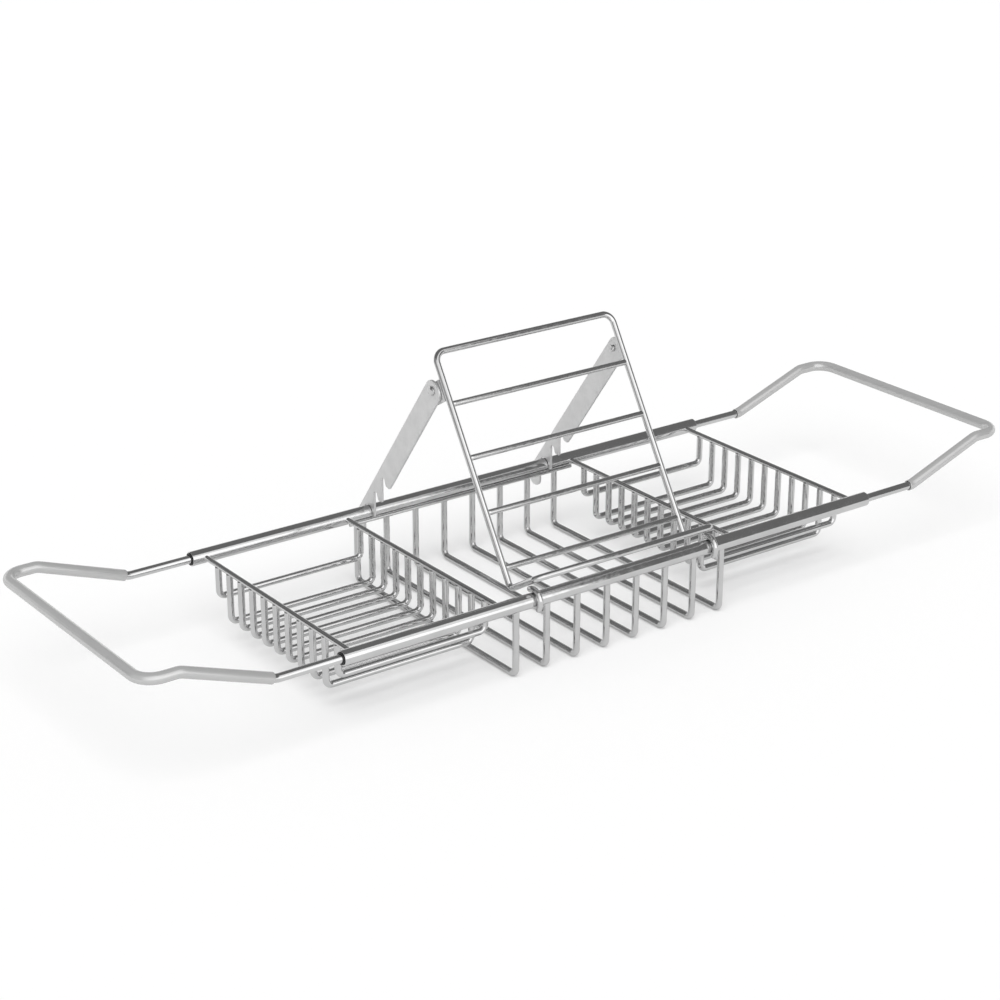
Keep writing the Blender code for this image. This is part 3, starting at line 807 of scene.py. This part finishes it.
front_y = -RIM_Y - RIM_RADIUS - WELD_GAP - BASKET_RADIUS
rear_y = -front_y + BASKET_REAR_SET_BACK
for i in range(BASKET_WIRES):
    x = (i - (BASKET_WIRES - 1) / 2) * BASKET_PITCH
    points = bend_wire([
        (Vector((x, front_y, BASKET_TOP)), 0),
        (Vector((x, front_y, -BASKET_DEPTH)), BASKET_BEND),
        (Vector((x, rear_y, -BASKET_DEPTH)), BASKET_BEND),
        (Vector((x, rear_y, BASKET_TOP)), 0),
    ])
    node = f"basket_wire_{i + 1}"
    mesh = skin_wire(node, points, BASKET_RADIUS, RAIL_WELD)
    cope(mesh)
    show(node, mesh, chrome)
report("basket")

# %% [markdown]
# ## Handles
#
# Each handle is one rod bent into a wide U. It leaves both rails, climbs a ramp, and crosses
# the end as a bar that lies on the bath's rim. Inside the rails its ends are swaged into
# collars that the bushes hold back. The swage is a wider stretch with short slopes.

# %% Handle rods
ROD_RADIUS = 0.0026
ROD_SIDES = 28
HANDLE_NECK = 0.0418
HANDLE_RAMP = 0.058
HANDLE_RISE = 0.0208
HANDLE_TAIL = 0.0218
HANDLE_BEND = 0.012
COLLAR_X = 0.1223
COLLAR_LENGTH = 0.0085
COLLAR_RADIUS = 0.00345
COLLAR_SLOPE = 0.0005
COLLAR_SHARE = COLLAR_RADIUS / ROD_RADIUS
SWAGED_END = (
    (0.0, COLLAR_SHARE * 0.90), (0.0003, COLLAR_SHARE * 0.98), (0.0007, COLLAR_SHARE),
    (COLLAR_LENGTH - COLLAR_SLOPE, COLLAR_SHARE), (COLLAR_LENGTH, 1.0),
)


def handle_corners(side):
    """A handle's corners and bend radii, rear rail round to front rail."""
    neck = side * (RAIL_END_X + HANDLE_NECK)
    ramp = neck + side * HANDLE_RAMP
    bar = ramp + side * HANDLE_TAIL
    rear = [
        (Vector((neck, RAIL_Y, 0)), HANDLE_BEND),
        (Vector((ramp, RAIL_Y, HANDLE_RISE)), HANDLE_BEND),
        (Vector((bar, RAIL_Y, HANDLE_RISE)), HANDLE_BEND),
    ]
    return rear + [(Vector((p.x, -p.y, p.z)), r) for p, r in reversed(rear)]


for side_name, side in SIDES:
    inner_x = side * (RAIL_END_X - COLLAR_X - COLLAR_LENGTH)
    ends = [Vector((inner_x, RAIL_Y, 0)), Vector((inner_x, -RAIL_Y, 0))]
    points = bend_wire([(ends[0], 0), *handle_corners(side), (ends[1], 0)])
    node = f"{side_name}_handle_rod"
    show(node, skin_wire(node, points, ROD_RADIUS, SWAGED_END, ROD_SIDES), chrome)
report("handle rods")

# %% [markdown]
# ## Sleeves
#
# A soft vinyl tube is pushed over each handle so that the bar doesn't scratch the bath. It
# is a real tube with a wall: the skin runs along its outside, turns over the soft cut lip,
# comes back along the bore and closes on itself. The left sleeve ends just past the rod's
# first bends, as in the photograph, and the right one covers them.

# %% Sleeves over the handles
SLEEVE_FIT = 0.00025
SLEEVE_WALL = 0.0006
SLEEVE_SIDES = 32
SLEEVE_END_FROM_BEND = 0.0005
RAMP_ANGLE = math.atan2(HANDLE_RISE, HANDLE_RAMP)
LIP = ((0.0, 0.5), (0.00003, 0.8), (0.00012, 0.95), (0.0003, 1.0))


def sleeve_points(side):
    """The line that a sleeve follows."""
    corners = handle_corners(side)
    from_corner = HANDLE_BEND * math.tan(RAMP_ANGLE / 2) + SLEEVE_END_FROM_BEND
    if side > 0:
        start = corners[0][0] - Vector((from_corner, 0, 0))
        covered = corners
    else:
        run = (corners[1][0] - corners[0][0]).normalized()
        start = corners[0][0] + run * from_corner
        covered = corners[1:-1]
    return bend_wire([(start, 0), *covered, (Vector((start.x, -start.y, start.z)), 0)])


def skin_sleeve(name, points):
    """An open tube with a wall and soft lips, along points."""
    places, shares = work_ends(points, LIP)
    across = ring_directions(places)
    bore = ROD_RADIUS + SLEEVE_FIT
    outside = [(p, a, bore + SLEEVE_WALL * s) for p, a, s in zip(places, across, shares)]
    inside = [(p, a, bore) for p, a in zip(places, across)]
    return skin_rings(name, outside + inside[::-1], SLEEVE_SIDES, closed=True)


for side_name, side in SIDES:
    node = f"{side_name}_handle_sleeve"
    show(node, skin_sleeve(node, sleeve_points(side)), vinyl)
report("sleeves")

# %% [markdown]
# ## Book rest frame
#
# The book rest is one wire bent into a closed loop: top bar, two legs, and a ledge that
# juts forward over the front rail to hold the book. The loop is skinned as a closed ring,
# so it has no ends. The ledge's slope isn't typed in: it is the one at which the ledge
# just clears the hooks that hold the rest on the rail. It is found from the foot, which
# stands a little behind the rail's axis and below it.

# %% Book rest frame
REST_RADIUS = 0.0020
REST_SIDES = 24
REST_LEG_X = 0.0670
REST_LEG_LENGTH = 0.1475
REST_LEAN = math.radians(31.5)
FOOT_BEHIND = 0.0226
FOOT_DROP = 0.0013
REST_FOOT = Vector((0, FOOT_BEHIND - RAIL_Y, -FOOT_DROP))
REST_TOP_BEND = 0.0068
REST_FOOT_BEND = 0.0035
LEDGE_REACH = 0.0308
LEDGE_BEND = 0.005
HOOK_RADIUS = 0.0018
HOOK_PATH = RAIL_RADIUS + WELD_GAP + HOOK_RADIUS
LEDGE_CLEAR = HOOK_PATH + HOOK_RADIUS + WELD_GAP + REST_RADIUS
FOOT_FROM_RAIL = math.hypot(FOOT_BEHIND, FOOT_DROP)
LEDGE_LEAN = math.asin(LEDGE_CLEAR / FOOT_FROM_RAIL) + math.atan2(FOOT_DROP, FOOT_BEHIND)
LEG_UP = Vector((0, math.sin(REST_LEAN), math.cos(REST_LEAN)))
LEDGE_OUT = Vector((0, -math.cos(LEDGE_LEAN), math.sin(LEDGE_LEAN)))

top = REST_FOOT + LEG_UP * REST_LEG_LENGTH
ledge = REST_FOOT + LEDGE_OUT * LEDGE_REACH
half = [(top, REST_TOP_BEND), (REST_FOOT, REST_FOOT_BEND), (ledge, LEDGE_BEND)]
out = Vector((REST_LEG_X, 0, 0))
corners = [(p + out, r) for p, r in half] + [(p - out, r) for p, r in reversed(half)]
points = bend_wire(corners, closed=True)
rings = [(p, across, REST_RADIUS) for p, across in zip(points, ring_directions(points, True))]
show("book_rest_frame", skin_rings("book_rest_frame", rings, REST_SIDES, closed=True), chrome)
report("book rest frame")

# %% [markdown]
# ## Rungs
#
# Four thinner wires are welded between the legs. They keep the frame square, and the book
# leans on them. Each stands at a share of the leg's length above the foot.

# %% Rungs between the legs
RUNG_RADIUS = 0.0018
RUNG_SHARES = (0.087, 0.3185, 0.55, 0.78)

rung_end = Vector((REST_LEG_X - REST_RADIUS - WELD_GAP, 0, 0))
for i, share in enumerate(RUNG_SHARES):
    middle = REST_FOOT + LEG_UP * REST_LEG_LENGTH * share
    node = f"book_rest_rung_{i + 1}"
    ends = [middle - rung_end, middle + rung_end]
    show(node, skin_wire(node, ends, RUNG_RADIUS, WELDED_END), chrome)
report("rungs")

# %% [markdown]
# ## Hooks
#
# The rest turns on the front rail in two wire hooks, welded under the ledge's arms. They
# go over the rail and on under its front, so the rest can't lift straight off. A hook is
# simply an arc about the rail, with both ends cut and tumbled. Its angles are counted from
# straight above the rail, forwards.

# %% Hooks round the front rail
HOOK_PAST_LEDGE = math.radians(8)
HOOK_START = -LEDGE_LEAN - HOOK_PAST_LEDGE
HOOK_END = math.radians(140)
HOOK_POINTS = 28

for side_name, side in SIDES:
    points = []
    for i in range(HOOK_POINTS + 1):
        angle = HOOK_START + (HOOK_END - HOOK_START) * i / HOOK_POINTS
        y = -RAIL_Y - HOOK_PATH * math.sin(angle)
        points.append(Vector((side * REST_LEG_X, y, HOOK_PATH * math.cos(angle))))
    node = f"book_rest_{side_name}_hook"
    show(node, skin_wire(node, points, HOOK_RADIUS), chrome)
report("hooks")

# %% [markdown]
# ## Arms and lugs
#
# The lugs on the legs and the two long arms are stamped plates. Their outlines, with the
# slot and the notches that hook over the rear rail, are already right in the CAD solids. A
# copy of each is cleaned of its triangles and its sharp edges are eased, since a stamped and
# tumbled edge always catches a thin line of light. The wide faces stay flat, and the edges
# are shaded smooth.

# %% Ease the edges of the stamped plates
EDGE_EASE = 0.00022
EASE_SEGMENTS = 2
ROUND_PROFILE = 0.5
SHARP_FROM = math.radians(60)
FLAT_WITHIN = math.radians(1)
MERGE_WITHIN = 0.00001


def eased_plate(node):
    """A copy of a plate's mesh with its rims eased, about the point between the rails."""
    plate = bmesh.new()
    plate.from_mesh(frame["nodes"][node].data)
    bmesh.ops.remove_doubles(plate, verts=plate.verts, dist=MERGE_WITHIN)
    bmesh.ops.dissolve_limit(plate, angle_limit=FLAT_WITHIN, verts=plate.verts, edges=plate.edges)
    rims = [e for e in plate.edges if e.is_manifold and e.calc_face_angle() > SHARP_FROM]
    bmesh.ops.bevel(
        plate, geom=rims, offset=EDGE_EASE, segments=EASE_SEGMENTS, profile=ROUND_PROFILE,
        affect="EDGES", clamp_overlap=True
    )
    for face in plate.faces:
        face.smooth = abs(face.normal.x) < math.cos(FLAT_WITHIN)
    mesh = bpy.data.meshes.new(node)
    plate.to_mesh(mesh)
    plate.free()
    mesh.transform(Matrix.Translation(-rails_centre))
    return mesh


for node in ("left_support_arm", "right_support_arm", "left_lug", "right_lug"):
    show(node, eased_plate(node), steel)
report("plates")

# %% [markdown]
# ## Rivets
#
# A rivet joins each arm to its lug and lets it turn. The outer head is domed by the rivet
# set, and the inner end is peened over into a ring with a dimple. Its section is turned
# round X like the rails', but it reaches the axis, so each end closes with a tiny disc.

# %% Rivets that the arms turn on
RIVET_RADIUS = 0.0015
RIVET_HEAD = 0.0030
RIVET_HEAD_HEIGHT = 0.0010
RIVET_TAIL = 0.0021
RIVET_SIDES = 24
PEENED_END = (
    (0.0, 0.97), (0.0003, 1.0), (0.0007, 0.92), (0.0010, 0.72), (0.0009, 0.40), (0.0006, 0.22),
)
DIMPLE_DEEP = 0.0005
PLATE_THICK = 0.0015
RUNNING_GAP = 0.0003
DOME_STEPS = 8
AXIS_RADIUS = 0.00002

inner = -(PLATE_THICK / 2 + RUNNING_GAP)
outer = PLATE_THICK / 2 + RUNNING_GAP + PLATE_THICK + RUNNING_GAP
dome = []
for i in range(DOME_STEPS + 1):
    angle = math.pi / 2 * i / DOME_STEPS
    along = outer + RIVET_HEAD_HEIGHT * math.cos(angle)
    dome.append((along, max(AXIS_RADIUS, RIVET_HEAD * math.sin(angle))))
shank = [(outer, RIVET_RADIUS), (inner, RIVET_RADIUS)]
peened = [(inner - far, RIVET_TAIL * share) for far, share in PEENED_END]
section = dome + shank + peened + [(inner - DIMPLE_DEEP, AXIS_RADIUS)]

for side_name, side in SIDES:
    node = f"{side_name}_arm_rivet"
    place = node_middle(node) - rails_centre
    place.x = side * (REST_LEG_X + REST_RADIUS - PLATE_THICK / 2)
    show(node, turned_mesh(node, section, place, side, RIVET_SIDES, closed=False), chrome)
report("rivets")

# %% [markdown]
# ## Check and finish
#
# Every CAD node should now have a finished piece in its place. Any node that is still bare
# is printed.

# %% List the bare nodes and finish
missing = sorted(set(frame["nodes"]) - set(made))
print("pieces:", len(made), "nodes still bare:", missing)
